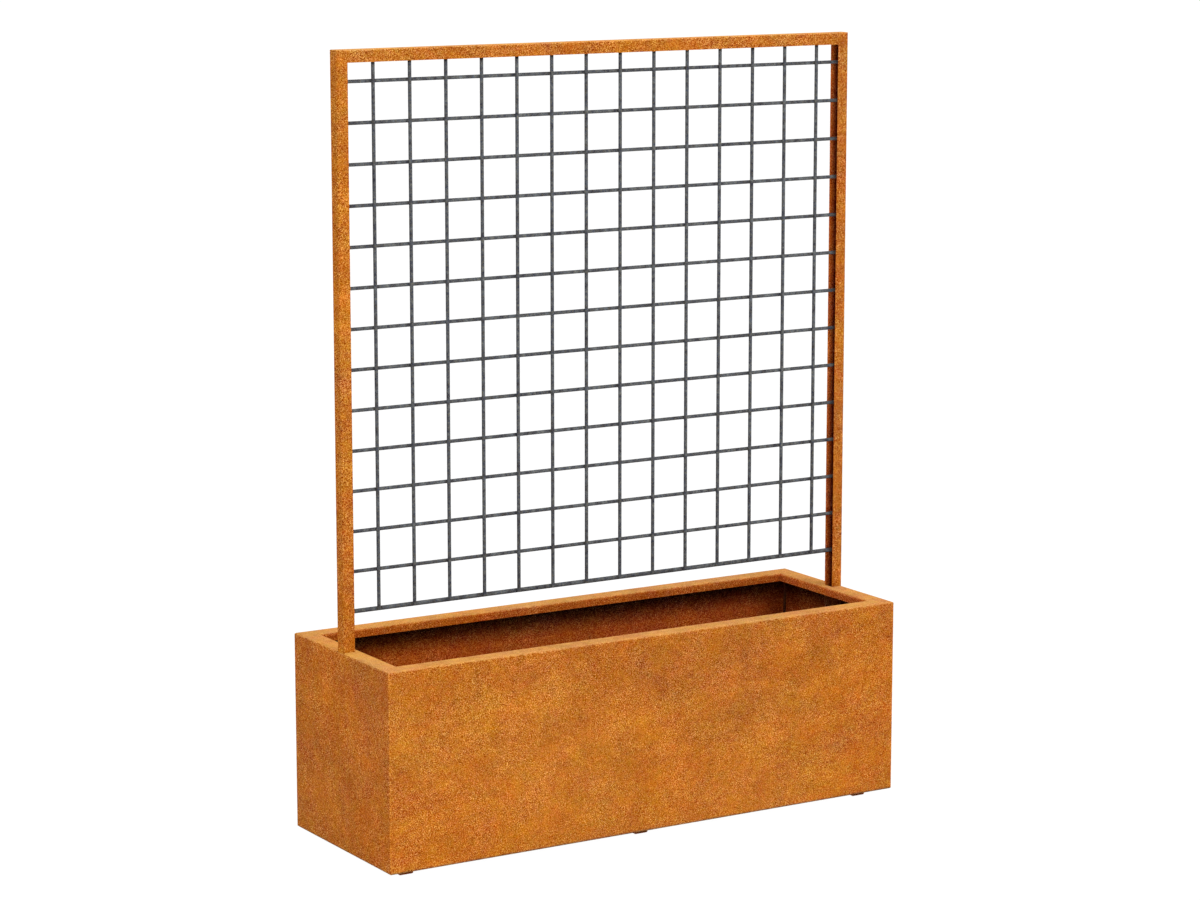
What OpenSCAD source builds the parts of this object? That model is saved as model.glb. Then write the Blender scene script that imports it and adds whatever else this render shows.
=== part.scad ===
// Rectangular planter box of folded weathering steel sheet on three foot rails, with a lift-out
// trellis. The trellis is a frame of U channel filled with a welded mesh of round rods. Its two
// posts pass through slots in the folded rim and stand on the planter's bottom plate.
// Millimetres. X runs along the long side, Y from front to back and Z up.
// The origin is on the ground under the middle of the box.

/* [Planter box] */
// Outside length of the box
box_length = 1504; // [900:1:2400]
// Outside depth of the box from front to back
box_depth = 504; // [350:1:800]
// Height of the box walls, without the foot rails
box_height = 507; // [300:1:800]
// Thickness of the wall, bottom and foot rail sheet
sheet = 2; // [1.5:0.5:3]
// Inside radius of the sheet bends
bend_inner = 6; // [1:0.5:8]
// Outside radius of the four upright corners of the box
corner_radius = 6; // [1:0.5:8]
// Width of the rim that is folded inwards along the top
rim_width = 52; // [42:1:90]
// Depth of the lip that is folded down along the rim's inner edge
lip_depth = 22; // [12:1:40]
// Width of the ledge that is folded inwards along the bottom
ledge_width = 25; // [15:1:40]
// Gap between the bottom plate's edge and the bends around it
plate_gap = 1; // [0.5:0.5:5]

/* [Foot rails] */
// Clearance of the box above the ground
foot_height = 20; // [10:1:60]
// Width of a foot rail
foot_width = 40; // [25:1:80]
// Distance from the box's faces to the foot rails
foot_inset = 52; // [42:1:120]
// Inside radius of a foot rail's bends
foot_bend = 2; // [1:0.5:4]

/* [Drain holes] */
// Diameter of a drain hole in the bottom plate
drain_hole_d = 20; // [10:1:40]
// Number of drain holes along the box
drain_columns = 4; // [2:2:6]
// Distance between the two rows of drain holes
drain_row_pitch = 200; // [80:10:300]

/* [Trellis frame] */
// Height of the trellis above the rim
trellis_rise = 1475; // [700:5:2000]
// Width of the frame's U channel from front to back, across its web
channel_width = 35; // [30:1:40]
// Reach of the U channel's flanges from the outer face of its web
flange_reach = 31; // [25:1:36]
// Sheet thickness of the U channel
channel_sheet = 2; // [1.5:0.5:3]
// Inside radius of the U channel's bends
channel_bend = 3; // [0.5:0.5:4]
// Radius of the frame's two upper corners
frame_corner_radius = 3; // [1:0.5:8]
// Gap between the posts and what they pass through or stand on
post_gap = 0.5; // [0.3:0.1:1.5]

/* [Rod mesh] */
// Diameter of the mesh rods
rod_d = 9; // [5:1:10]
// Diameter of the thicker rod along the bottom of the mesh
bottom_rod_d = 11; // [6:1:12]
// Distance between neighbouring rods, both ways
rod_pitch = 100; // [75:5:200]
// Distance from the frame's top to the axis of the highest level rod
top_row_drop = 77; // [45:1:150]
// Least height of the bottom rod above the rim
bottom_row_rise = 95; // [50:5:300]
// Sideways shift of the mesh from the middle of the frame
mesh_shift = 4; // [-10:1:10]
// Gap between the upright rods and the channel's front flange
mesh_gap = 2; // [0.5:0.5:4]
// Depth that crossing rods are pressed into each other by welding
weld_bite = 0.4; // [0.2:0.1:0.6]

/* [Post keepers] */
// Height of the strap that keeps a post against its end wall
keeper_height = 40; // [20:1:100]
// Sheet thickness of the strap
keeper_sheet = 3; // [2:0.5:4]
// Inside radius of the strap's bends
keeper_bend = 2; // [1:0.5:4]
// Flat length of each ear that is welded to the wall
keeper_ear = 18; // [10:1:30]
// Height of the strap above the bottom plate
keeper_rise = 60; // [20:5:150]

/* [Hidden] */
$fn = 48;
// Overshoot of cutting shapes beyond what they cut
over = 1;

// Levels from the ground up
plate_underside = foot_height + sheet;
plate_top = plate_underside + sheet;
rim_top = foot_height + box_height;
frame_top = rim_top + trellis_rise;

// Places of the box's details
bend_outer = bend_inner + sheet;
wall_inside = box_length / 2 - sheet;
rail_x = box_length / 2 - foot_inset - foot_width / 2;
rail_length = box_depth - 2 * foot_inset;
drain_pitch = 2 * rail_x / drain_columns;

// Places of the trellis frame's details
frame_half = wall_inside - post_gap;
rod_end_x = frame_half - channel_sheet;
slot_depth = flange_reach + 2 * post_gap;
slot_width = channel_width + 2 * post_gap;
// Gap between the strap and the post, wide enough for the strap's bends to clear the post's corners
keeper_gap = max(post_gap, keeper_bend - (keeper_bend - post_gap) / sqrt(2));

// Places of the mesh: upright rods in front, level rods behind them
upright_y = channel_sheet + mesh_gap + rod_d / 2 - channel_width / 2;
level_y = upright_y + rod_d - weld_bite;
bottom_rod_y = upright_y + rod_d / 2 + bottom_rod_d / 2 - weld_bite;
// The outermost upright rods stay at least half a pitch away from the posts
mesh_reach = frame_half - flange_reach - abs(mesh_shift) - rod_pitch / 2;
columns = floor(2 * mesh_reach / rod_pitch) + 1;
rows = floor((trellis_rise - top_row_drop - bottom_row_rise) / rod_pitch) + 1;
function upright_x(i) = mesh_shift + (i - (columns + 1) / 2) * rod_pitch;
function level_z(i) = frame_top - top_row_drop - (i - 1) * rod_pitch;
bottom_rod_z = level_z(rows);
// The upright rods end level with the bottom rod's axis
upright_bottom = bottom_rod_z;
upright_top = frame_top - channel_sheet;

function rod_name(kind, i) = str(kind, "_rod_", i < 10 ? "0" : "", i);

// Quarter ring of bent sheet, centred on the origin, in the corner where x and y are positive
module bend(inner, thickness) {
    intersection() {
        difference() {
            circle(inner + thickness);
            circle(inner);
        }
        square(inner + thickness);
    }
}

// U section: its web lies along x from 0 to width and its flanges stand up to height
module channel_profile(width, height, thickness, inner) {
    outer = inner + thickness;
    translate([outer, 0])
        square([width - 2 * outer, thickness]);
    for (side = [0, 1])
        translate([side * width, 0])
            mirror([side, 0]) {
                translate([0, outer])
                    square([thickness, height - outer]);
                translate([outer, outer])
                    rotate(180)
                        bend(inner, thickness);
            }
}

// Section of a box wall: x runs inwards from the outer face, y up from the bottom
module wall_profile() {
    translate([0, bend_outer])
        square([sheet, box_height - 2 * bend_outer]);
    // Bottom bend and ledge
    translate([bend_outer, bend_outer])
        rotate(180)
            bend(bend_inner, sheet);
    translate([bend_outer, 0])
        square([ledge_width - bend_outer, sheet]);
    // Top bend and rim
    translate([bend_outer, box_height - bend_outer])
        rotate(90)
            bend(bend_inner, sheet);
    translate([bend_outer, box_height - sheet])
        square([rim_width - 2 * bend_outer, sheet]);
    // Inner bend and lip
    translate([rim_width - bend_outer, box_height - bend_outer])
        bend(bend_inner, sheet);
    translate([rim_width - sheet, box_height - lip_depth])
        square([sheet, lip_depth - bend_outer]);
}

// Plan of one wall with its ends mitred at 45 degrees and its outer corners rounded
module wall_plan(length, depth) {
    reach = max(rim_width, ledge_width) + over;
    intersection() {
        polygon([
            [-length / 2, -depth / 2],
            [length / 2, -depth / 2],
            [length / 2 - reach, reach - depth / 2],
            [reach - length / 2, reach - depth / 2]
        ]);
        union() {
            square([length, depth - 2 * corner_radius], center = true);
            square([length - 2 * corner_radius, depth], center = true);
            for (side = [-1, 1])
                translate([side * (length / 2 - corner_radius), corner_radius - depth / 2])
                    circle(corner_radius);
        }
    }
}

// Folded wall along the front of a box of the given length and depth
module wall(length, depth) {
    intersection() {
        translate([-length / 2 - over, -depth / 2, foot_height])
            rotate([90, 0, 90])
                linear_extrude(length + 2 * over)
                    wall_profile();
        translate([0, 0, foot_height - over])
            linear_extrude(box_height + 2 * over)
                wall_plan(length, depth);
    }
}

module front_panel() {
    color("peru")
        wall(box_length, box_depth);
}

module back_panel() {
    color("peru")
        rotate(180)
            wall(box_length, box_depth);
}

// End wall on the right, with the slot in its rim that a post passes through
module end_panel() {
    difference() {
        rotate(90)
            wall(box_depth, box_length);
        translate([wall_inside - slot_depth, -slot_width / 2, rim_top - bend_outer - over])
            cube([slot_depth, slot_width, bend_outer + 2 * over]);
    }
}

module left_end_panel() {
    color("chocolate")
        rotate(180)
            end_panel();
}

module right_end_panel() {
    color("chocolate")
        end_panel();
}

// Flat plate that lies on the four ledges, with drain holes in the bays between the foot rails
module bottom_plate() {
    margin = bend_outer + plate_gap;
    color("sienna")
        difference() {
            translate([margin - box_length / 2, margin - box_depth / 2, plate_underside])
                cube([box_length - 2 * margin, box_depth - 2 * margin, sheet]);
            for (i = [1:drain_columns], side = [-1, 1])
                translate([
                    (i - (drain_columns + 1) / 2) * drain_pitch,
                    side * drain_row_pitch / 2,
                    plate_underside - over
                ])
                    cylinder(h = sheet + 2 * over, d = drain_hole_d);
        }
}

// U channel from front to back under the bottom plate, with its flanges welded to the plate
module foot_rail(x) {
    color("saddlebrown")
        translate([x - foot_width / 2, rail_length / 2, 0])
            rotate([90, 0, 0])
                linear_extrude(rail_length)
                    channel_profile(foot_width, plate_underside, sheet, foot_bend);
}

module left_foot_rail() {
    foot_rail(-rail_x);
}

module middle_foot_rail() {
    foot_rail(0);
}

module right_foot_rail() {
    foot_rail(rail_x);
}

// Section of a keeper strap: y runs from the wall inwards, and the post lies inside the hat
module keeper_profile() {
    outer = keeper_bend + keeper_sheet;
    inside = channel_width / 2 + keeper_gap;
    depth = post_gap + flange_reach + keeper_gap;
    translate([-inside - keeper_sheet, depth + keeper_sheet])
        mirror([0, 1])
            channel_profile(
                2 * (inside + keeper_sheet),
                depth + keeper_sheet - outer,
                keeper_sheet,
                keeper_bend
            );
    for (side = [0, 1])
        mirror([side, 0]) {
            translate([inside + outer, outer])
                rotate(180)
                    bend(keeper_bend, keeper_sheet);
            translate([inside + outer, 0])
                square([keeper_ear, keeper_sheet]);
        }
}

// Strap welded to the inside of the right end wall
module post_keeper() {
    color("sienna")
        translate([wall_inside, 0, plate_top + keeper_rise])
            rotate(90)
                linear_extrude(keeper_height)
                    keeper_profile();
}

module left_post_keeper() {
    rotate(180)
        post_keeper();
}

module right_post_keeper() {
    post_keeper();
}

// Front view of the frame with its upper corners rounded: x sideways and y up
module frame_outline() {
    straight = frame_top - frame_corner_radius;
    translate([-frame_half, 0])
        square([2 * frame_half, straight]);
    translate([frame_corner_radius - frame_half, 0])
        square([2 * (frame_half - frame_corner_radius), frame_top]);
    for (side = [-1, 1])
        translate([side * (frame_half - frame_corner_radius), straight])
            circle(frame_corner_radius);
}

// Keeps what lies inside both the frame's outline and the given front view
module frame_cut(outline) {
    intersection() {
        children();
        rotate([90, 0, 0])
            linear_extrude(channel_width + 2 * over, center = true)
                intersection() {
                    frame_outline();
                    polygon(outline);
                }
    }
}

// Section of the frame's channel, with flanges that reach a little past where they are cut off
module frame_channel() {
    channel_profile(channel_width, flange_reach + over, channel_sheet, channel_bend);
}

// Left post: its web is on the outside and it opens towards the mesh
module post() {
    foot = plate_top + post_gap;
    inside = flange_reach - frame_half;
    // The lower outer corner is cut off as far as the wall's bottom bend reaches
    corner_cut = bend_inner;
    color("darkorange")
        frame_cut([
            [-frame_half, foot + corner_cut],
            [corner_cut - frame_half, foot],
            [inside, foot],
            [inside, frame_top - flange_reach],
            [-frame_half, frame_top]
        ])
            translate([-frame_half, channel_width / 2, foot - over])
                rotate(-90)
                    linear_extrude(frame_top - foot + 2 * over)
                        frame_channel();
}

module left_post() {
    post();
}

module right_post() {
    mirror([1, 0, 0])
        post();
}

// Top bar: its web is on top and it opens down towards the mesh
module top_bar() {
    inside = frame_half - flange_reach;
    color("darkorange")
        frame_cut([
            [-frame_half, frame_top],
            [frame_half, frame_top],
            [inside, frame_top - flange_reach],
            [-inside, frame_top - flange_reach]
        ])
            translate([-frame_half - over, -channel_width / 2, frame_top])
                mirror([0, 0, 1])
                    rotate([90, 0, 90])
                        linear_extrude(2 * (frame_half + over))
                            frame_channel();
}

module upright_rod(i) {
    color("dimgray")
        translate([upright_x(i), upright_y, upright_bottom])
            cylinder(h = upright_top - upright_bottom, d = rod_d);
}

// Rod along X between the webs of the two posts
module crossing_rod(y, z, diameter) {
    color("dimgray")
        translate([-rod_end_x, y, z])
            rotate([0, 90, 0])
                cylinder(h = 2 * rod_end_x, d = diameter);
}

module level_rod(i) {
    crossing_rod(level_y, level_z(i), rod_d);
}

module bottom_rod() {
    crossing_rod(bottom_rod_y, bottom_rod_z, bottom_rod_d);
}

front_panel();
back_panel();
left_end_panel();
right_end_panel();
bottom_plate();
left_foot_rail();
middle_foot_rail();
right_foot_rail();
left_post_keeper();
right_post_keeper();
left_post();
right_post();
top_bar();
for (i = [1:columns])
    upright_rod(i);
for (i = [1:rows - 1])
    level_rod(i);
bottom_rod();
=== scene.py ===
"""Dresses a planter box of folded, rusted steel sheet with a lift-out trellis of grey rods.

The steel pieces come from the frame at their real size. This script gives them their rust and
mill scale, lays the weld beads that hold them together, and sets the studio around them.
Lengths are in metres. Colours are written as they look on a screen, from 0 to 255.
"""

import math

import bpy
from mathutils import Matrix, Vector


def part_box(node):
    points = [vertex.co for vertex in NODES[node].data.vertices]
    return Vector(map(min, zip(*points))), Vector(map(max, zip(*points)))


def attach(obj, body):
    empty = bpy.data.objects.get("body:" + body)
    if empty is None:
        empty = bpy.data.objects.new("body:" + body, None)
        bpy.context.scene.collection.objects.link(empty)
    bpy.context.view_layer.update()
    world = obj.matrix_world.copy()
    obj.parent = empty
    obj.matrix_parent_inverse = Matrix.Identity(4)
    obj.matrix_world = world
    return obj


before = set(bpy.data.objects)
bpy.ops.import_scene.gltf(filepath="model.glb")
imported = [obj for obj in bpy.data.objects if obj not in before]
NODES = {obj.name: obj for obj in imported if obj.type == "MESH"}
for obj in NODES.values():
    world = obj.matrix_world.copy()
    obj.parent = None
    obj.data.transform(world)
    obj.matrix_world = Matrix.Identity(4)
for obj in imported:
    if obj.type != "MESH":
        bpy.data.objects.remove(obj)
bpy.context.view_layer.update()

MM = 0.001


def names_like(start):
    """The frame's nodes whose names start with these letters, in order."""
    return sorted(name for name in NODES if name.startswith(start))


PANELS = ["front_panel", "back_panel", "left_end_panel", "right_end_panel"]
FOOT_RAILS = ["left_foot_rail", "middle_foot_rail", "right_foot_rail"]
KEEPERS = ["left_post_keeper", "right_post_keeper"]
FRAME_BARS = ["left_post", "right_post", "top_bar"]
UPRIGHTS = names_like("upright_rod")
LEVELS = names_like("level_rod")


def middle(node):
    """Centre of a node's box."""
    low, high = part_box(node)
    return (low + high) / 2


# Sizes of the folded sheet that the finishes follow

SHEET = 2 * MM
WALL_BEND = 8 * MM
RIM_WIDTH = 52 * MM
BOX_HALF_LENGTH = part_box("right_end_panel")[1].x
BOX_HALF_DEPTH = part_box("back_panel")[1].y
BOX_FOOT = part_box("front_panel")[0].z
BOX_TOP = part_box("front_panel")[1].z
PLATE_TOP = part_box("bottom_plate")[1].z
LIP_FOOT = BOX_TOP - 22 * MM
MOUTH_HALF_LENGTH = BOX_HALF_LENGTH - RIM_WIDTH
MOUTH_HALF_DEPTH = BOX_HALF_DEPTH - RIM_WIDTH

CHANNEL_BEND = 5 * MM
CHANNEL_SHEET = 2 * MM
FRAME_HALF_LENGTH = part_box("right_post")[1].x
FRAME_HALF_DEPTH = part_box("top_bar")[1].y
FRAME_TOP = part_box("top_bar")[1].z
FLANGE_REACH = FRAME_HALF_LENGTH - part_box("right_post")[0].x


# Camera, at the photograph's viewing angle

CAMERA_PLACE = (-4.5375, -7.3933, 2.4963)
CAMERA_AZIMUTH = math.radians(-31.5385)
CAMERA_ELEVATION = math.radians(10.0261)
LENS_IN_MM = 103.5809
SENSOR_WIDTH_IN_MM = 36


def add_camera():
    looks_along = Vector((
        -math.sin(CAMERA_AZIMUTH) * math.cos(CAMERA_ELEVATION),
        math.cos(CAMERA_AZIMUTH) * math.cos(CAMERA_ELEVATION),
        -math.sin(CAMERA_ELEVATION),
    ))
    bpy.ops.object.camera_add(location=CAMERA_PLACE)
    camera = bpy.context.object
    camera.rotation_mode = "QUATERNION"
    camera.rotation_quaternion = looks_along.to_track_quat("-Z", "Y")
    camera.data.lens = LENS_IN_MM
    camera.data.sensor_width = SENSOR_WIDTH_IN_MM
    bpy.context.scene.camera = camera


# Node trees

def screen(red, green, blue, alpha=1.0):
    """A colour as it looks on a screen, turned into the light values that shaders use."""
    def light(value):
        share = value / 255
        return share / 12.92 if share <= 0.04045 else ((share + 0.055) / 1.055) ** 2.4
    return (light(red), light(green), light(blue), alpha)


def add_node(tree, kind, inputs=None, **settings):
    """Adds a shader node. An input's value is a number, a colour or the socket that feeds it."""
    node = tree.nodes.new("ShaderNode" + kind)
    for name, value in settings.items():
        setattr(node, name, value)
    for key, value in (inputs or {}).items():
        if isinstance(value, bpy.types.NodeSocket):
            tree.links.new(value, node.inputs[key])
        else:
            node.inputs[key].default_value = value
    return node


def calc(tree, operation, first, second=0.0, third=0.0, clamp=False):
    inputs = {0: first, 1: second, 2: third}
    return add_node(tree, "Math", inputs, operation=operation, use_clamp=clamp).outputs[0]


def vector_calc(tree, operation, first, second=None, scale=None):
    inputs = {0: first}
    if second is not None:
        inputs[1] = second
    if scale is not None:
        inputs["Scale"] = scale
    outputs = add_node(tree, "VectorMath", inputs, operation=operation).outputs
    return outputs["Value"] if operation in ("LENGTH", "DOT_PRODUCT") else outputs["Vector"]


def ramp(tree, value, low, high, to_low=0.0, to_high=1.0, smooth=True):
    """Carries a value from one range to another, and keeps it inside."""
    kind = "SMOOTHSTEP" if smooth else "LINEAR"
    inputs = {"Value": value, "From Min": low, "From Max": high, "To Min": to_low, "To Max": to_high}
    return add_node(tree, "MapRange", inputs, interpolation_type=kind).outputs["Result"]


def noise(tree, place, size, detail=2.0, roughness=0.5, **inputs):
    """Cloudy noise whose main lumps are about size across, from 0 to 1 round a mean of a half."""
    scale = calc(tree, "DIVIDE", 1.0, size) if isinstance(size, bpy.types.NodeSocket) else 1 / size
    values = {"Vector": place, "Scale": scale, "Detail": detail, "Roughness": roughness, **inputs}
    return add_node(tree, "TexNoise", values).outputs["Fac"]


def elsewhere(tree, place, *offset):
    """The same place in another part of the noise, so that two patterns don't repeat each other."""
    return vector_calc(tree, "ADD", place, offset)


def centred(tree, value):
    """Moves noise from a mean of a half to a mean of zero."""
    return calc(tree, "SUBTRACT", value, 0.5)


def mix_colours(tree, share, first, second):
    """The first colour at share 0, the second at 1. A Mix node's colours are its sockets 6 and 7."""
    return add_node(tree, "Mix", {0: share, 6: first, 7: second}, data_type="RGBA").outputs[2]


def mix_values(tree, share, first, second):
    """The same for values, which are a Mix node's sockets 2 and 3."""
    return add_node(tree, "Mix", {0: share, 2: first, 3: second}, data_type="FLOAT").outputs[0]


def split(tree, vector):
    parts = add_node(tree, "SeparateXYZ", {0: vector})
    return parts.outputs["X"], parts.outputs["Y"], parts.outputs["Z"]


def past_either(tree, first, first_edge, second, second_edge):
    """How far two values are past an edge each, whichever is more."""
    first_past = calc(tree, "SUBTRACT", first, first_edge)
    second_past = calc(tree, "SUBTRACT", second, second_edge)
    return calc(tree, "MAXIMUM", first_past, second_past)


def past_core(tree, span, *core):
    """How far a place lies outside a box round the middle, along each axis."""
    return vector_calc(tree, "MAXIMUM", vector_calc(tree, "SUBTRACT", span, core), (0, 0, 0))


def slope(tree, spot, steepness, start):
    """A value that changes evenly across the object, by its steepness a metre."""
    return calc(tree, "ADD", vector_calc(tree, "DOT_PRODUCT", spot, steepness), start)


def new_group(name, inputs, outputs):
    """A shader node group with named sockets. Returns the group, its inputs and its output node."""
    kinds = {"value": "NodeSocketFloat", "colour": "NodeSocketColor", "vector": "NodeSocketVector"}
    group = bpy.data.node_groups.new(name, "ShaderNodeTree")
    for label, kind, default in inputs:
        socket = group.interface.new_socket(name=label, in_out="INPUT", socket_type=kinds[kind])
        if default is not None:
            socket.default_value = default
    for label, kind in outputs:
        group.interface.new_socket(name=label, in_out="OUTPUT", socket_type=kinds[kind])
    entry = group.nodes.new("NodeGroupInput")
    leave = group.nodes.new("NodeGroupOutput")
    return group, entry.outputs, leave


def use_group(tree, group, **inputs):
    """Places a group in a tree. Underscores in the names stand for spaces."""
    node = tree.nodes.new("ShaderNodeGroup")
    node.node_tree = group
    for key, value in inputs.items():
        socket = node.inputs[key.replace("_", " ")]
        if isinstance(value, bpy.types.NodeSocket):
            tree.links.new(value, socket)
        else:
            socket.default_value = value
    return node.outputs


def give_out(group, leave, **sockets):
    for key, socket in sockets.items():
        group.links.new(socket, leave.inputs[key])


# Shared effects

# What a step of each kind adds to red, green and blue. Grain moves all three alike, Cloud moves
# mostly the warm ones, Hue goes from red to grey and Olive from red to olive.
TONE_STEPS = {
    "Grain": (1.0, 1.13, 1.1),
    "Cloud": (1.15, 0.88, 0.1),
    "Hue": (-0.5, 0.3, 0.85),
    "Olive": (-0.7, 1.2, -0.8),
}
TONE_POWER = 2.2
DARKEST_TONE = 0.02

GRAIN_SIZE = 2.6 * MM
GRAIN_STRETCH = (1.0, 0.7, 1.0)
FINE_GRAIN_SHARE = 0.6
PIT_SHARE = 0.3
PIT_DEPTH = 0.5
GRAIN_BEND = -0.2

CLOUD_SQUEEZE = (1.0, 1.0, 1.25)
CLOUD_SIZE = 0.2
HUE_SIZE = 0.15
OLIVE_SIZE = 0.1
BROAD_CLOUD_SIZE = 0.5
BROAD_HUE_SIZE = 0.4
BROAD_CLOUD_AMOUNT = 0.18
BROAD_HUE_AMOUNT = 0.55
DENSITY_SIZE = 0.07
LEAST_DENSITY = 0.75
MOST_DENSITY = 1.25

RUST_ROUGHNESS = 0.85
ROUGHNESS_SPREAD = 0.25

DUST_SPECK_SIZE = 6 * MM
DUST_RAGGEDNESS = 0.9
DUST_PATCH_SIZE = 0.05
THINNEST_DUST = 0.8


def make_tone_shift():
    """Shifts a colour by the same step on the screen's scale, as grain and clouds do in a photograph."""
    group, taken, leave = new_group(
        "Tone shift",
        [("Colour", "colour", (0.5, 0.5, 0.5, 1))] + [(label, "value", 0.0) for label in TONE_STEPS],
        [("Colour", "colour")],
    )
    tone = vector_calc(group, "POWER", taken["Colour"], (1 / TONE_POWER,) * 3)
    for label, direction in TONE_STEPS.items():
        step = vector_calc(group, "SCALE", direction, scale=taken[label])
        tone = vector_calc(group, "ADD", tone, step)
    tone = vector_calc(group, "MAXIMUM", tone, (DARKEST_TONE,) * 3)
    give_out(group, leave, Colour=vector_calc(group, "POWER", tone, (TONE_POWER,) * 3))
    return group


def make_rust_grain():
    """Fine granules of rust, a little long from front to back: a value round zero, and a height."""
    group, taken, leave = new_group(
        "Rust grain",
        [("Vector", "vector", None), ("Size", "value", GRAIN_SIZE)],
        [("Value", "value"), ("Height", "value")],
    )
    place = vector_calc(group, "MULTIPLY", taken["Vector"], GRAIN_STRETCH)
    size = taken["Size"]
    coarse = noise(group, place, size, detail=1.0, roughness=0.8)
    shifted = elsewhere(group, place, 3.1, 7.7, 1.3)
    fine_size = calc(group, "MULTIPLY", size, FINE_GRAIN_SHARE)
    fine = noise(group, shifted, fine_size, detail=1.0, roughness=0.8)
    both = calc(group, "ADD", centred(group, coarse), centred(group, fine))
    pits = noise(group, place, calc(group, "MULTIPLY", size, PIT_SHARE), detail=2.0, roughness=0.6)
    height = calc(group, "ADD", both, calc(group, "MULTIPLY", pits, PIT_DEPTH))
    bent = calc(group, "MULTIPLY_ADD", calc(group, "MULTIPLY", both, both), GRAIN_BEND, both)
    give_out(group, leave, Value=bent, Height=height)
    return group


def make_rust_clouds():
    """Soft mottling of a patina, from hand-sized clouds down to spots: values round zero.

    Density says how strong the grain is from place to place.
    """
    group, taken, leave = new_group(
        "Rust clouds",
        [("Vector", "vector", None)],
        [("Value", "value"), ("Hue", "value"), ("Olive", "value"), ("Density", "value")],
    )
    place = taken["Vector"]
    squat = vector_calc(group, "MULTIPLY", place, CLOUD_SQUEEZE)
    lumps = noise(group, squat, CLOUD_SIZE, detail=5.0, roughness=1.0, Distortion=0.3)
    hues = noise(group, elsewhere(group, squat, 5.3, 1.9, 8.4), HUE_SIZE, detail=5.0, roughness=1.0)
    olives = noise(group, elsewhere(group, squat, 1.6, 9.3, 4.7), OLIVE_SIZE, detail=5.0, roughness=1.0)
    density = noise(group, elsewhere(group, place, 9.1, 4.2, 2.6), DENSITY_SIZE, detail=3.0, roughness=0.6)
    broad = noise(group, elsewhere(group, place, 2.7, 6.1, 0.4), BROAD_CLOUD_SIZE, detail=1.0)
    broad_hue = noise(group, elsewhere(group, place, 7.4, 0.8, 3.5), BROAD_HUE_SIZE, detail=1.0)
    lumps = centred(group, lumps)
    hues = centred(group, hues)
    give_out(
        group, leave,
        Value=calc(group, "MULTIPLY_ADD", centred(group, broad), BROAD_CLOUD_AMOUNT, lumps),
        Hue=calc(group, "MULTIPLY_ADD", centred(group, broad_hue), BROAD_HUE_AMOUNT, hues),
        Olive=centred(group, olives),
        Density=ramp(group, density, 0.3, 0.7, LEAST_DENSITY, MOST_DENSITY),
    )
    return group


def make_patina(grain, clouds, tone_shift):
    """A rusted skin: its colour, roughness and height."""
    group, taken, leave = new_group(
        "Patina",
        [
            ("Vector", "vector", None),
            ("Colour", "colour", (0.5, 0.2, 0.05, 1)),
            ("Grain Size", "value", GRAIN_SIZE),
            ("Grain Amount", "value", 0.3),
            ("Cloud Amount", "value", 0.1),
            ("Hue Amount", "value", 0.1),
            ("Lift", "value", 0.0),
        ],
        [("Colour", "colour"), ("Roughness", "value"), ("Height", "value")],
    )
    specks = use_group(group, grain, Vector=taken["Vector"], Size=taken["Grain Size"])
    mottle = use_group(group, clouds, Vector=taken["Vector"])
    speck_step = calc(group, "MULTIPLY", specks["Value"], mottle["Density"])
    coloured = use_group(
        group, tone_shift,
        Colour=taken["Colour"],
        Grain=calc(group, "MULTIPLY", speck_step, taken["Grain Amount"]),
        Cloud=calc(group, "MULTIPLY_ADD", mottle["Value"], taken["Cloud Amount"], taken["Lift"]),
        Hue=calc(group, "MULTIPLY", mottle["Hue"], taken["Hue Amount"]),
        Olive=calc(group, "MULTIPLY", mottle["Olive"], taken["Hue Amount"]),
    )
    rough = calc(group, "MULTIPLY_ADD", specks["Value"], ROUGHNESS_SPREAD, RUST_ROUGHNESS, clamp=True)
    give_out(group, leave, Colour=coloured["Colour"], Roughness=rough, Height=specks["Height"])
    return group


def make_upward_dust():
    """How far a surface faces up, where pale oxide dust settles and where the rim and frame get a painted
    sheen. Its edge breaks up into specks.
    """
    group, taken, leave = new_group(
        "Upward dust and sheen",
        [("Vector", "vector", None), ("Normal", "vector", None)],
        [("Mask", "value")],
    )
    up = split(group, taken["Normal"])[2]
    specks = noise(group, taken["Vector"], DUST_SPECK_SIZE, detail=3.0, roughness=0.8)
    lowered = calc(group, "SUBTRACT", up, DUST_RAGGEDNESS / 2)
    ragged = calc(group, "MULTIPLY_ADD", specks, DUST_RAGGEDNESS, lowered)
    facing = ramp(group, ragged, 0.35, 0.95)
    patches = noise(group, taken["Vector"], DUST_PATCH_SIZE, detail=4.0, roughness=0.65)
    cover = ramp(group, patches, 0.3, 0.6, THINNEST_DUST, 1.0)
    give_out(group, leave, Mask=calc(group, "MULTIPLY", facing, cover))
    return group


TONE_SHIFT = make_tone_shift()
RUST_GRAIN = make_rust_grain()
RUST_CLOUDS = make_rust_clouds()
PATINA = make_patina(RUST_GRAIN, RUST_CLOUDS, TONE_SHIFT)
UPWARD_DUST_AND_SHEEN = make_upward_dust()


# Colours and amounts of the finishes

ORANGE_RUST = screen(167, 95, 23)
# Painted highlight on the upright bends, and painted shade on the ends of the box
CORNER_HIGHLIGHT_RUST = screen(179, 106, 30)
END_SHADE_RUST = screen(163, 90, 28)
FRAME_ORANGE = screen(165, 93, 22)
# Pale oxide dust with a painted sheen, where the rim and frame face up
PALE_DUST_AND_SHEEN = screen(206, 146, 80)
INNER_DUST = screen(142, 82, 46)
# Painted shade along the walls' foot, where the bottom bend turns under
FOOT_BEND_SHADE = screen(127, 91, 56)
# Painted shade on the lip round the mouth, painted lighter on the ends' lips
LIP_SHADE_RUST = screen(176, 89, 19)
END_LIP_LIT_RUST = screen(200, 105, 36)
WALL_INSIDE = screen(176, 82, 20)
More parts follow.
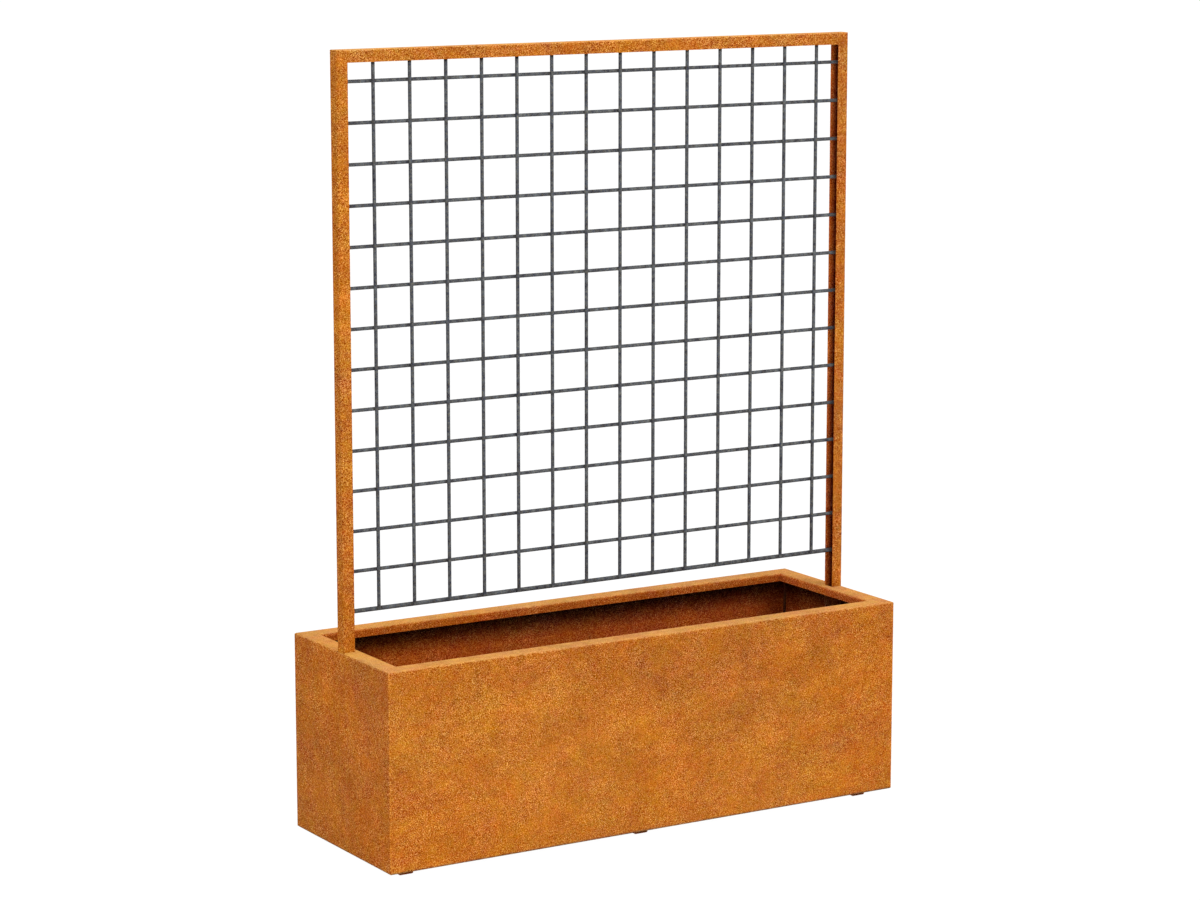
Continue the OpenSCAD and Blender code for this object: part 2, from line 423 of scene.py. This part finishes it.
# Painted shadow of the lip on the inner walls
SHADED_RUST = screen(30, 10, 1)
PLATE_RUST = screen(130, 70, 36)
# Painted light at the channel's mouth and painted shade deep inside it
LIT_CHANNEL_MOUTH = screen(216, 109, 32)
SHADED_CHANNEL_DEPTH = screen(90, 8, 0)
# Painted light on the foot rails, which stand in the shade under the box
LIT_FOOT_RUST = screen(205, 108, 34)
WELD_RUST = screen(100, 58, 38)
SCALE_GREY = screen(79, 80, 82)
WELD_GREY = screen(89, 88, 87)
# Painted shadow of the top bar on the rods
BAR_SHADOW_SCALE = screen(44, 44, 46)

BUMP_DEPTH = 0.3 * MM
SKIN_EDGE = 0.5 * MM

ORANGE_CLOUD = 0.34
ORANGE_HUE = 0.115
ORANGE_BUMP = 0.18
WALL_GRAIN = 0.79
FRAME_GRAIN = 0.86
DUST_GRAIN = 0.3

DARK_CLOUD = 0.35
DARK_HUE = 0.12
DARK_BUMP = 0.35
DARK_GRAIN = 0.4

# Painted light and shade across the walls and frame: the tone's change a metre along each axis, and its value
# at the origin
WALL_FADE = (-0.024, 0, -0.03)
WALL_LIFT = -0.004
FRAME_FADE = (-0.021, 0, 0.002)
FRAME_LIFT = -0.006

# Painted light: below this band the walls are a little brighter and warmer than above it
BAND_FOOT = BOX_TOP - 170 * MM
BAND_TOP = BOX_TOP - 40 * MM
BAND_LIFT = 0.010

# Painted shadow of the lip: inside, the walls are darkest right under the lip and brighten down to the foot
# of this shade
SHADE_FOOT = LIP_FOOT - 80 * MM
SHADE_TOP = LIP_FOOT - 5 * MM
SHADE_POWER = 1.6

FOOT_SHADE_HEIGHT = 9 * MM
LIP_EDGE = 1 * MM
CHANNEL_SHADE_START = 2 * MM
CHANNEL_SHADE_END = 20 * MM
# Painted shade on the posts below this, down inside the box
SUNK_FOOT = BOX_TOP - 8 * MM
SUNK_TOP = BOX_TOP - 3 * MM

SCALE_PATCH_SIZE = 14 * MM
SCALE_PATCH_AMOUNT = 0.4
SCALE_FLECK_SIZE = 4 * MM
SCALE_FLECK_AMOUNT = 0.3
SCALE_BUMP = 0.3
BAR_FLANGE_FOOT = FRAME_TOP - FLANGE_REACH
# Painted shadow of the top bar on the rods, from here up
BAR_SHADOW_FOOT = BAR_FLANGE_FOOT - 7 * MM
BAR_SHADOW_TOP = BAR_FLANGE_FOOT - 3 * MM


# Finishes

def new_material(name):
    material = bpy.data.materials.new(name)
    material.use_nodes = True
    tree = material.node_tree
    tree.nodes.clear()
    place = add_node(tree, "TexCoord")
    return material, tree, place.outputs


def finish_material(tree, colour, roughness, height, bump):
    """Feeds the shader. It has no white sheen, which would turn the dark places grey."""
    normal = add_node(tree, "Bump", {"Height": height, "Strength": bump, "Distance": BUMP_DEPTH})
    shader = add_node(tree, "BsdfPrincipled", {
        "Base Color": colour,
        "Roughness": roughness,
        "Normal": normal.outputs["Normal"],
        "Specular IOR Level": 0.0,
    })
    output = add_node(tree, "OutputMaterial")
    tree.links.new(shader.outputs["BSDF"], output.inputs["Surface"])


def finish_rust(tree, spot, colour, grain, cloud, hue, bump, lift=0.0):
    """Gives a material the patina over a colour that already follows the piece's shape."""
    skin = use_group(
        tree, PATINA,
        Vector=spot, Colour=colour, Lift=lift,
        Grain_Amount=grain, Cloud_Amount=cloud, Hue_Amount=hue,
    )
    finish_material(tree, skin["Colour"], skin["Roughness"], skin["Height"], bump)


def sheet_inside(tree, distance, bend, thickness):
    """1 on a bent sheet's inner skin and 0 on its outer skin, from the distance to the space inside."""
    skin = bend - thickness / 2
    return ramp(tree, distance, skin - SKIN_EDGE, skin + SKIN_EDGE, 1.0, 0.0)


def wall_sides(tree, spot):
    """Masks of a box wall: its inner side, its lip round the mouth, and the ends. Also the height."""
    span = vector_calc(tree, "ABSOLUTE", spot)
    length, depth, height = split(tree, span)
    past = past_core(tree, span, BOX_HALF_LENGTH - WALL_BEND, BOX_HALF_DEPTH - WALL_BEND, BOX_TOP - WALL_BEND)
    from_mouth = past_either(tree, length, MOUTH_HALF_LENGTH, depth, MOUTH_HALF_DEPTH)
    before_lip = calc(tree, "MAXIMUM", calc(tree, "SUBTRACT", WALL_BEND, from_mouth), 0)
    below = calc(tree, "MAXIMUM", calc(tree, "SUBTRACT", BOX_FOOT + WALL_BEND, height), 0)
    corner = add_node(tree, "CombineXYZ", {"X": before_lip, "Z": below}).outputs[0]
    distance = vector_calc(tree, "LENGTH", vector_calc(tree, "ADD", past, corner))
    lip = ramp(tree, from_mouth, LIP_EDGE, WALL_BEND, 1.0, 0.0)
    end = ramp(tree, length, MOUTH_HALF_LENGTH - LIP_EDGE, MOUTH_HALF_LENGTH)
    return sheet_inside(tree, distance, WALL_BEND, SHEET), lip, end, height


def make_wall_rust(name):
    """Orange rust outside with painted highlight and shade on its bends, ends, lip and foot, pale dust and a
    painted sheen on the rim, and red-brown rust inside the box under a painted shadow of the lip.
    """
    material, tree, place = new_material(name)
    spot = place["Object"]
    inside, lip, end, height = wall_sides(tree, spot)

    # 0 on the long walls, 1 on the ends of the box, and in between round the bends. The bends get a painted
    # highlight and the ends painted shade
    turned = calc(tree, "ABSOLUTE", split(tree, place["Normal"])[0])
    long_side = mix_colours(tree, ramp(tree, turned, 0.08, 0.3), ORANGE_RUST, CORNER_HIGHLIGHT_RUST)
    outer = mix_colours(tree, ramp(tree, turned, 0.6, 0.8), long_side, END_SHADE_RUST)
    # Painted shade along the walls' foot, where the bottom bend turns under
    foot_shade = ramp(tree, height, BOX_FOOT, BOX_FOOT + FOOT_SHADE_HEIGHT, 1.0, 0.0)
    outer = mix_colours(tree, foot_shade, outer, FOOT_BEND_SHADE)
    # Painted shade on the lip round the mouth, painted lighter on the ends' lips
    outer = mix_colours(tree, lip, outer, mix_colours(tree, end, LIP_SHADE_RUST, END_LIP_LIT_RUST))
    # Pale dust and a painted sheen where the rim faces up
    facing_up = use_group(tree, UPWARD_DUST_AND_SHEEN, Vector=spot, Normal=place["Normal"])["Mask"]
    outer = mix_colours(tree, facing_up, outer, PALE_DUST_AND_SHEEN)

    # Painted shadow of the lip on the inner walls
    unshaded = ramp(tree, height, SHADE_FOOT, SHADE_TOP, 1.0, 0.0, smooth=False)
    inner = mix_colours(tree, calc(tree, "POWER", unshaded, SHADE_POWER), SHADED_RUST, WALL_INSIDE)

    # Painted light below the band, and painted light and shade across the walls by their slope
    band = ramp(tree, height, BAND_FOOT, BAND_TOP, BAND_LIFT, 0.0)
    finish_rust(
        tree, spot, mix_colours(tree, inside, outer, inner),
        grain=mix_values(tree, facing_up, WALL_GRAIN, DUST_GRAIN),
        cloud=ORANGE_CLOUD, hue=ORANGE_HUE, bump=ORANGE_BUMP,
        lift=calc(tree, "ADD", slope(tree, spot, WALL_FADE, WALL_LIFT), band),
    )
    return material


def make_frame_rust(name):
    """The same rust on the trellis frame, with painted light at the channel's mouth, painted shade deep in
    the channel and down inside the box, and pale dust and a painted sheen where it faces up.
    """
    material, tree, place = new_material(name)
    spot = place["Object"]
    span = vector_calc(tree, "ABSOLUTE", spot)
    length, _, height = split(tree, span)
    core = (FRAME_HALF_LENGTH - CHANNEL_BEND, FRAME_HALF_DEPTH - CHANNEL_BEND, FRAME_TOP - CHANNEL_BEND)
    distance = vector_calc(tree, "LENGTH", past_core(tree, span, *core))
    inside = sheet_inside(tree, distance, CHANNEL_BEND, CHANNEL_SHEET)

    # Painted shade deep in the channel, painted light at its mouth
    reach = past_either(tree, length, FRAME_HALF_LENGTH - FLANGE_REACH, height, BAR_FLANGE_FOOT)
    deep = ramp(tree, reach, CHANNEL_SHADE_START, CHANNEL_SHADE_END, smooth=False)
    inner = mix_colours(tree, deep, LIT_CHANNEL_MOUTH, SHADED_CHANNEL_DEPTH)
    # Pale dust and a painted sheen where the frame faces up
    facing_up = use_group(tree, UPWARD_DUST_AND_SHEEN, Vector=spot, Normal=place["Normal"])["Mask"]
    outer = mix_colours(tree, facing_up, FRAME_ORANGE, PALE_DUST_AND_SHEEN)
    # Painted shade on the posts down inside the box, in the plate's colour
    sunk = ramp(tree, height, SUNK_FOOT, SUNK_TOP, 1.0, 0.0)

    # Painted light and shade across the frame by its slope
    finish_rust(
        tree, spot, mix_colours(tree, sunk, mix_colours(tree, inside, outer, inner), PLATE_RUST),
        grain=mix_values(tree, facing_up, FRAME_GRAIN, DUST_GRAIN),
        cloud=ORANGE_CLOUD, hue=ORANGE_HUE, bump=ORANGE_BUMP,
        lift=slope(tree, spot, FRAME_FADE, FRAME_LIFT),
    )
    return material


def make_dark_rust(name, colour, dusted):
    """Rust of the inside, the foot rails and the weld beads, with its second colour where it faces up."""
    material, tree, place = new_material(name)
    spot = place["Object"]
    facing_up = use_group(tree, UPWARD_DUST_AND_SHEEN, Vector=spot, Normal=place["Normal"])["Mask"]
    finish_rust(
        tree, spot, mix_colours(tree, facing_up, colour, dusted),
        grain=DARK_GRAIN, cloud=DARK_CLOUD, hue=DARK_HUE, bump=DARK_BUMP,
    )
    return material


def make_mill_scale(name, colour):
    """Blue-grey scale of hot-rolled rod, with paler rubbed patches, and a painted shadow of the top bar just
    under it and up inside it.
    """
    material, tree, place = new_material(name)
    spot = place["Object"]
    patches = noise(tree, spot, SCALE_PATCH_SIZE, detail=3.0, roughness=0.7)
    flecks = noise(tree, spot, SCALE_FLECK_SIZE, detail=2.0, roughness=0.6)
    height = split(tree, spot)[2]
    # Painted shadow of the top bar on the rods just under it
    bar_shadow = ramp(tree, height, BAR_SHADOW_FOOT, BAR_SHADOW_TOP)
    shifted = use_group(
        tree, TONE_SHIFT,
        Colour=mix_colours(tree, bar_shadow, colour, BAR_SHADOW_SCALE),
        Grain=calc(tree, "MULTIPLY_ADD", patches, SCALE_PATCH_AMOUNT, -SCALE_PATCH_AMOUNT / 2),
        Cloud=calc(tree, "MULTIPLY_ADD", flecks, SCALE_FLECK_AMOUNT, -SCALE_FLECK_AMOUNT / 2),
    )
    rough = ramp(tree, patches, 0.3, 0.7, 0.6, 0.8)
    finish_material(tree, shifted["Colour"], rough, flecks, SCALE_BUMP)
    return material


WALL_FINISH = make_wall_rust("weathered_sheet_rust")
FRAME_FINISH = make_frame_rust("weathered_frame_rust")
INNER_FINISH = make_dark_rust("inner_sheet_rust", PLATE_RUST, INNER_DUST)
# The foot rails' colour carries painted light
FOOT_FINISH = make_dark_rust("foot_rail_lit_rust", LIT_FOOT_RUST, LIT_FOOT_RUST)
SEAM_FINISH = make_dark_rust("seam_weld_rust", WELD_RUST, WELD_RUST)
ROD_FINISH = make_mill_scale("rod_mill_scale", SCALE_GREY)
ROD_WELD_FINISH = make_mill_scale("rod_weld_scale", WELD_GREY)


def coat(names, material):
    for name in names:
        for material_slot in NODES[name].material_slots:
            material_slot.material = material


coat(PANELS, WALL_FINISH)
coat(FRAME_BARS, FRAME_FINISH)
coat(["bottom_plate"] + KEEPERS, INNER_FINISH)
coat(FOOT_RAILS, FOOT_FINISH)
coat(UPRIGHTS + LEVELS + ["bottom_rod"], ROD_FINISH)


# Modelling by hand

SMOOTH_ANGLE = math.radians(50)


def start_editing():
    bpy.ops.object.mode_set(mode="EDIT")
    bpy.ops.mesh.select_all(action="SELECT")


def stop_editing():
    bpy.ops.object.mode_set(mode="OBJECT")


def repeat(piece, count, step):
    """Turns a piece into a row of copies of itself."""
    row = piece.modifiers.new("row", "ARRAY")
    row.count = count
    row.use_relative_offset = False
    row.use_constant_offset = True
    row.constant_offset_displace = step
    bpy.context.view_layer.objects.active = piece
    bpy.ops.object.modifier_apply(modifier=row.name)


def copy_of(piece):
    copy = piece.copy()
    copy.data = piece.data.copy()
    bpy.context.collection.objects.link(copy)
    return copy


def drop(piece):
    bpy.data.objects.remove(piece)


def settle(piece, name, body, finish, move):
    """Names a finished piece, puts its place into its mesh and gives it its body and finish."""
    piece.name = name
    piece.data.name = name
    piece.data.transform(move)
    piece.data.materials.clear()
    piece.data.materials.append(finish)
    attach(piece, body)


def settle_seam(piece, name, move):
    """A weld bead on the planter's sheet."""
    settle(piece, name, "planter", SEAM_FINISH, move)


def settle_rod_weld(piece, name, move):
    """A weld on the trellis's rods."""
    settle(piece, name, "trellis", ROD_WELD_FINISH, move)


# Weld beads inside the box

RIPPLE = 4 * MM
BEAD_RADIUS = 7 * MM / 2
PUDDLE_DEPTH = 0.8 * RIPPLE
PUDDLE_ROUNDING = 0.3 * RIPPLE
PUDDLE_STRETCH = 1.5
PUDDLE_TILT = math.radians(24)
STITCH = 32 * MM

CORNER_SEAM_INSET = SHEET + 2.5 * MM
PLATE_SEAM_MARGIN = 60 * MM
PLATE_SEAM_RISE = 0.5 * MM
LONG_SIDE_STITCHES = 8
# An even number leaves the middle free, where a post stands
SHORT_SIDE_STITCHES = 4
RAIL_SEAM_MARGIN = 20 * MM
RAIL_SEAM_DROP = 3 * MM
RAIL_STITCHES = 4
KEEPER_SEAM_INSET = 3 * MM


def make_bead(length):
    """A rippled weld bead along Z, upwards from the origin: overlapping round puddles of metal."""
    bpy.ops.object.select_all(action="DESELECT")
    bpy.ops.mesh.primitive_cylinder_add(
        vertices=10, radius=BEAD_RADIUS, depth=PUDDLE_DEPTH, location=(0, 0, 0),
    )
    bead = bpy.context.object
    start_editing()
    bpy.ops.mesh.bevel(offset=PUDDLE_ROUNDING, segments=2, affect="EDGES")
    bpy.ops.transform.resize(value=(1, 1, PUDDLE_STRETCH))
    bpy.ops.transform.rotate(value=PUDDLE_TILT, orient_axis="X", center_override=(0, 0, 0))
    stop_editing()
    repeat(bead, round(length / RIPPLE), (0, 0, RIPPLE))
    start_editing()
    bpy.ops.transform.vertex_random(offset=0.25 * MM, seed=5)
    stop_editing()
    bpy.ops.object.shade_smooth_by_angle(angle=SMOOTH_ANGLE)
    return bead


def along(direction, start):
    """Turns a bead that was made along Z to run in a direction from a start."""
    turn = Vector(direction).to_track_quat("Z", "Y").to_matrix().to_4x4()
    return Matrix.Translation(start) @ turn


def add_corner_welds():
    """A full bead up each inner corner where two walls meet."""
    bead = make_bead(LIP_FOOT - PLATE_TOP)
    seam_x = BOX_HALF_LENGTH - CORNER_SEAM_INSET
    seam_y = BOX_HALF_DEPTH - CORNER_SEAM_INSET
    for end, x in (("left", -seam_x), ("right", seam_x)):
        for side, y in (("front", -seam_y), ("back", seam_y)):
            move = along((0, 0, 1), (x, y, PLATE_TOP + RIPPLE))
            settle_seam(copy_of(bead), f"{side}_{end}_corner_weld", move)
    drop(bead)


def add_stitches(name, start, direction, length, count):
    """Short beads, evenly spaced along a seam."""
    bead = make_bead(STITCH)
    step = (length - STITCH) / (count - 1)
    repeat(bead, count, (0, 0, step))
    settle_seam(bead, name, along(direction, start))


def add_plate_welds():
    """Stitches that hold the bottom plate's edges to the ledges."""
    low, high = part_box("bottom_plate")
    start_x = low.x + PLATE_SEAM_MARGIN
    start_y = low.y + PLATE_SEAM_MARGIN
    z = high.z + PLATE_SEAM_RISE
    long_side = high.x - low.x - 2 * PLATE_SEAM_MARGIN
    short_side = high.y - low.y - 2 * PLATE_SEAM_MARGIN
    for side, y in (("front", low.y), ("back", high.y)):
        add_stitches(f"plate_{side}_welds", (start_x, y, z), (1, 0, 0), long_side, LONG_SIDE_STITCHES)
    for end, x in (("left", low.x), ("right", high.x)):
        add_stitches(f"plate_{end}_welds", (x, start_y, z), (0, 1, 0), short_side, SHORT_SIDE_STITCHES)


def add_foot_welds():
    """Stitches along both flanges of each foot rail, under the bottom plate."""
    for rail in FOOT_RAILS:
        low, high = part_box(rail)
        run = high.y - low.y - 2 * RAIL_SEAM_MARGIN
        for side, x in (("left", low.x), ("right", high.x)):
            start = (x, low.y + RAIL_SEAM_MARGIN, high.z - RAIL_SEAM_DROP)
            add_stitches(f"{rail}_{side}_welds", start, (0, 1, 0), run, RAIL_STITCHES)


def add_keeper_welds():
    """Beads along the outer edges of the keepers' ears."""
    for keeper in KEEPERS:
        low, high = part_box(keeper)
        wall = low.x if abs(low.x) > abs(high.x) else high.x
        for side, y in (("front", low.y), ("back", high.y)):
            bead = make_bead(high.z - low.z - RIPPLE)
            start = (wall - math.copysign(KEEPER_SEAM_INSET, wall), y, low.z + RIPPLE)
            settle_seam(bead, f"{keeper}_{side}_weld", along((0, 0, 1), start))


# Welds of the rod mesh

ROD_RADIUS = (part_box(UPRIGHTS[0])[1].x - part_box(UPRIGHTS[0])[0].x) / 2
ROD_PITCH = middle(UPRIGHTS[1]).x - middle(UPRIGHTS[0]).x
ROD_OVERLAP = 0.4 * MM
CROSSING_WELD_RADIUS = 5.4 * MM
CROSSING_WELD_THICKNESS = 1.6 * MM
BOTTOM_WELD_RISE = 1.5 * MM
END_WELD_WIDTH = 2.6 * MM
END_WELD_EDGE = 1 * MM
# How far each step of the ring rises, and the share of its width that is left
END_WELD_STEPS = ((1.4 * MM, 0.82), (1.6 * MM, 0.8))


def make_crossing_weld():
    """Metal squeezed out between two crossing rods: a thin rounded lens, facing front."""
    bpy.ops.object.select_all(action="DESELECT")
    bpy.ops.mesh.primitive_cylinder_add(
        vertices=12, radius=CROSSING_WELD_RADIUS, depth=CROSSING_WELD_THICKNESS,
        location=(0, 0, 0), rotation=(math.pi / 2, 0, 0),
    )
    weld = bpy.context.object
    bpy.ops.object.transform_apply(location=False, rotation=True, scale=True)
    start_editing()
    bpy.ops.mesh.bevel(offset=0.6 * MM, segments=2, affect="EDGES")
    bpy.ops.transform.vertex_random(offset=0.3 * MM, seed=11)
    stop_editing()
    bpy.ops.object.shade_smooth_by_angle(angle=SMOOTH_ANGLE)
    return weld


def add_crossing_welds():
    """One row of welds along each level rod, where the upright rods cross it in front."""
    first = middle(UPRIGHTS[0])
    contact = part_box(UPRIGHTS[0])[1].y - ROD_OVERLAP / 2
    weld = make_crossing_weld()
    repeat(weld, len(UPRIGHTS), (ROD_PITCH, 0, 0))
    for rod in LEVELS + ["bottom_rod"]:
        rise = BOTTOM_WELD_RISE if rod == "bottom_rod" else 0
        move = Matrix.Translation((first.x, contact, middle(rod).z + rise))
        settle_rod_weld(copy_of(weld), f"{rod}_welds", move)
    drop(weld)


def make_end_weld():
    """Ring of weld round a rod's end, wide where it meets the steel at the origin and narrow along Z."""
    bpy.ops.object.select_all(action="DESELECT")
    bpy.ops.mesh.primitive_cylinder_add(
        vertices=14, radius=ROD_RADIUS + END_WELD_WIDTH, depth=END_WELD_EDGE, location=(0, 0, 0),
    )
    weld = bpy.context.object
    start_editing()
    bpy.ops.mesh.select_all(action="DESELECT")
    stop_editing()
    # Only the far end's face is drawn out
    for face in weld.data.polygons:
        face.select = face.normal.z > 0.5
    bpy.ops.object.mode_set(mode="EDIT")
    for rise, share in END_WELD_STEPS:
        bpy.ops.mesh.extrude_region_move(TRANSFORM_OT_translate={"value": (0, 0, rise)})
        bpy.ops.transform.resize(value=(share, share, 1), center_override=(0, 0, 0))
    bpy.ops.mesh.select_all(action="SELECT")
    bpy.ops.transform.vertex_random(offset=0.35 * MM, seed=7)
    stop_editing()
    bpy.ops.object.shade_smooth_by_angle(angle=SMOOTH_ANGLE)
    return weld


def add_end_welds():
    """Rings where the level rods meet the posts' webs and the upright rods meet the top bar's."""
    ring = make_end_weld()
    row = copy_of(ring)
    repeat(row, len(LEVELS), (ROD_PITCH, 0, 0))
    half_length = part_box(LEVELS[0])[1].x
    down_left_post = Matrix.Rotation(math.pi / 2, 4, "Y")
    down_right_post = Matrix.Rotation(math.pi, 4, "Z") @ down_left_post
    for end, x, turn in (("left", -half_length, down_left_post), ("right", half_length, down_right_post)):
        for rods, rod, shape in (("level_rods", LEVELS[0], row), ("bottom_rod", "bottom_rod", ring)):
            centre = middle(rod)
            move = Matrix.Translation((x, centre.y, centre.z)) @ turn
            settle_rod_weld(copy_of(shape), f"{rods}_{end}_end_welds", move)
    drop(row)
    repeat(ring, len(UPRIGHTS), (ROD_PITCH, 0, 0))
    first = middle(UPRIGHTS[0])
    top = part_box(UPRIGHTS[0])[1].z
    move = Matrix.Translation((first.x, first.y, top)) @ Matrix.Rotation(math.pi, 4, "X")
    settle_rod_weld(ring, "upright_rods_top_welds", move)


add_corner_welds()
add_plate_welds()
add_foot_welds()
add_keeper_welds()
add_crossing_welds()
add_end_welds()


# Studio

FLOOR_SIZE = 120
FLOOR_GLOW = 1.05
FLOOR_GLOW_SHARE = 0.95
FLOOR_ROUGHNESS = 0.9
FLOOR_TINT_SIZE = 0.8
# Where the dark under the box gives way to the glow, from the box's outline inwards
DARK_EDGE_INNER = -145 * MM
DARK_EDGE_OUTER = -115 * MM
BACKDROP_GLOW = 1.03
SOFTBOX_PLACE = (2.8, -8.2, 9.2)
SOFTBOX_TARGET = (0, 0, 0.6)
SOFTBOX_WIDTH = 6
SOFTBOX_HEIGHT = 4.5
SOFTBOX_POWER = 680


def add_floor():
    """White floor that glows to the camera like a light table, except in the dark far under the box."""
    bpy.ops.mesh.primitive_plane_add(size=FLOOR_SIZE, location=(0, 0, 0))
    floor = bpy.context.object
    floor.name = "studio_floor"
    material, tree, place = new_material("studio_floor_paint")
    tint = noise(tree, place["Object"], FLOOR_TINT_SIZE, detail=2.0)
    paint = add_node(tree, "BsdfPrincipled", {
        "Base Color": mix_colours(tree, tint, screen(243, 243, 243), screen(246, 246, 246)),
        "Roughness": FLOOR_ROUGHNESS,
        "Specular IOR Level": 0.0,
    })
    glow = add_node(tree, "Emission", {"Color": (1, 1, 1, 1), "Strength": FLOOR_GLOW})
    length, depth, _ = split(tree, vector_calc(tree, "ABSOLUTE", place["Object"]))
    from_box = past_either(tree, length, BOX_HALF_LENGTH, depth, BOX_HALF_DEPTH)
    clear = ramp(tree, from_box, DARK_EDGE_INNER, DARK_EDGE_OUTER, 0.0, FLOOR_GLOW_SHARE)
    seen = add_node(tree, "LightPath").outputs["Is Camera Ray"]
    both = add_node(tree, "MixShader", {0: calc(tree, "MULTIPLY", seen, clear)})
    tree.links.new(paint.outputs["BSDF"], both.inputs[1])
    tree.links.new(glow.outputs["Emission"], both.inputs[2])
    output = add_node(tree, "OutputMaterial")
    tree.links.new(both.outputs["Shader"], output.inputs["Surface"])
    floor.data.materials.append(material)


def add_softbox():
    bpy.ops.object.light_add(type="AREA", location=SOFTBOX_PLACE)
    lamp = bpy.context.object
    lamp.name = "key_softbox"
    lamp.rotation_mode = "QUATERNION"
    lamp.rotation_quaternion = (Vector(SOFTBOX_TARGET) - Vector(SOFTBOX_PLACE)).to_track_quat("-Z", "Y")
    lamp.data.shape = "RECTANGLE"
    lamp.data.size = SOFTBOX_WIDTH
    lamp.data.size_y = SOFTBOX_HEIGHT
    lamp.data.energy = SOFTBOX_POWER


def add_studio():
    world = bpy.data.worlds.new("studio")
    world.use_nodes = True
    backdrop = world.node_tree.nodes["Background"]
    backdrop.inputs["Color"].default_value = (1, 1, 1, 1)
    backdrop.inputs["Strength"].default_value = BACKDROP_GLOW
    bpy.context.scene.world = world
    bpy.context.scene.view_settings.view_transform = "Standard"
    add_softbox()


add_camera()
add_floor()
add_studio()
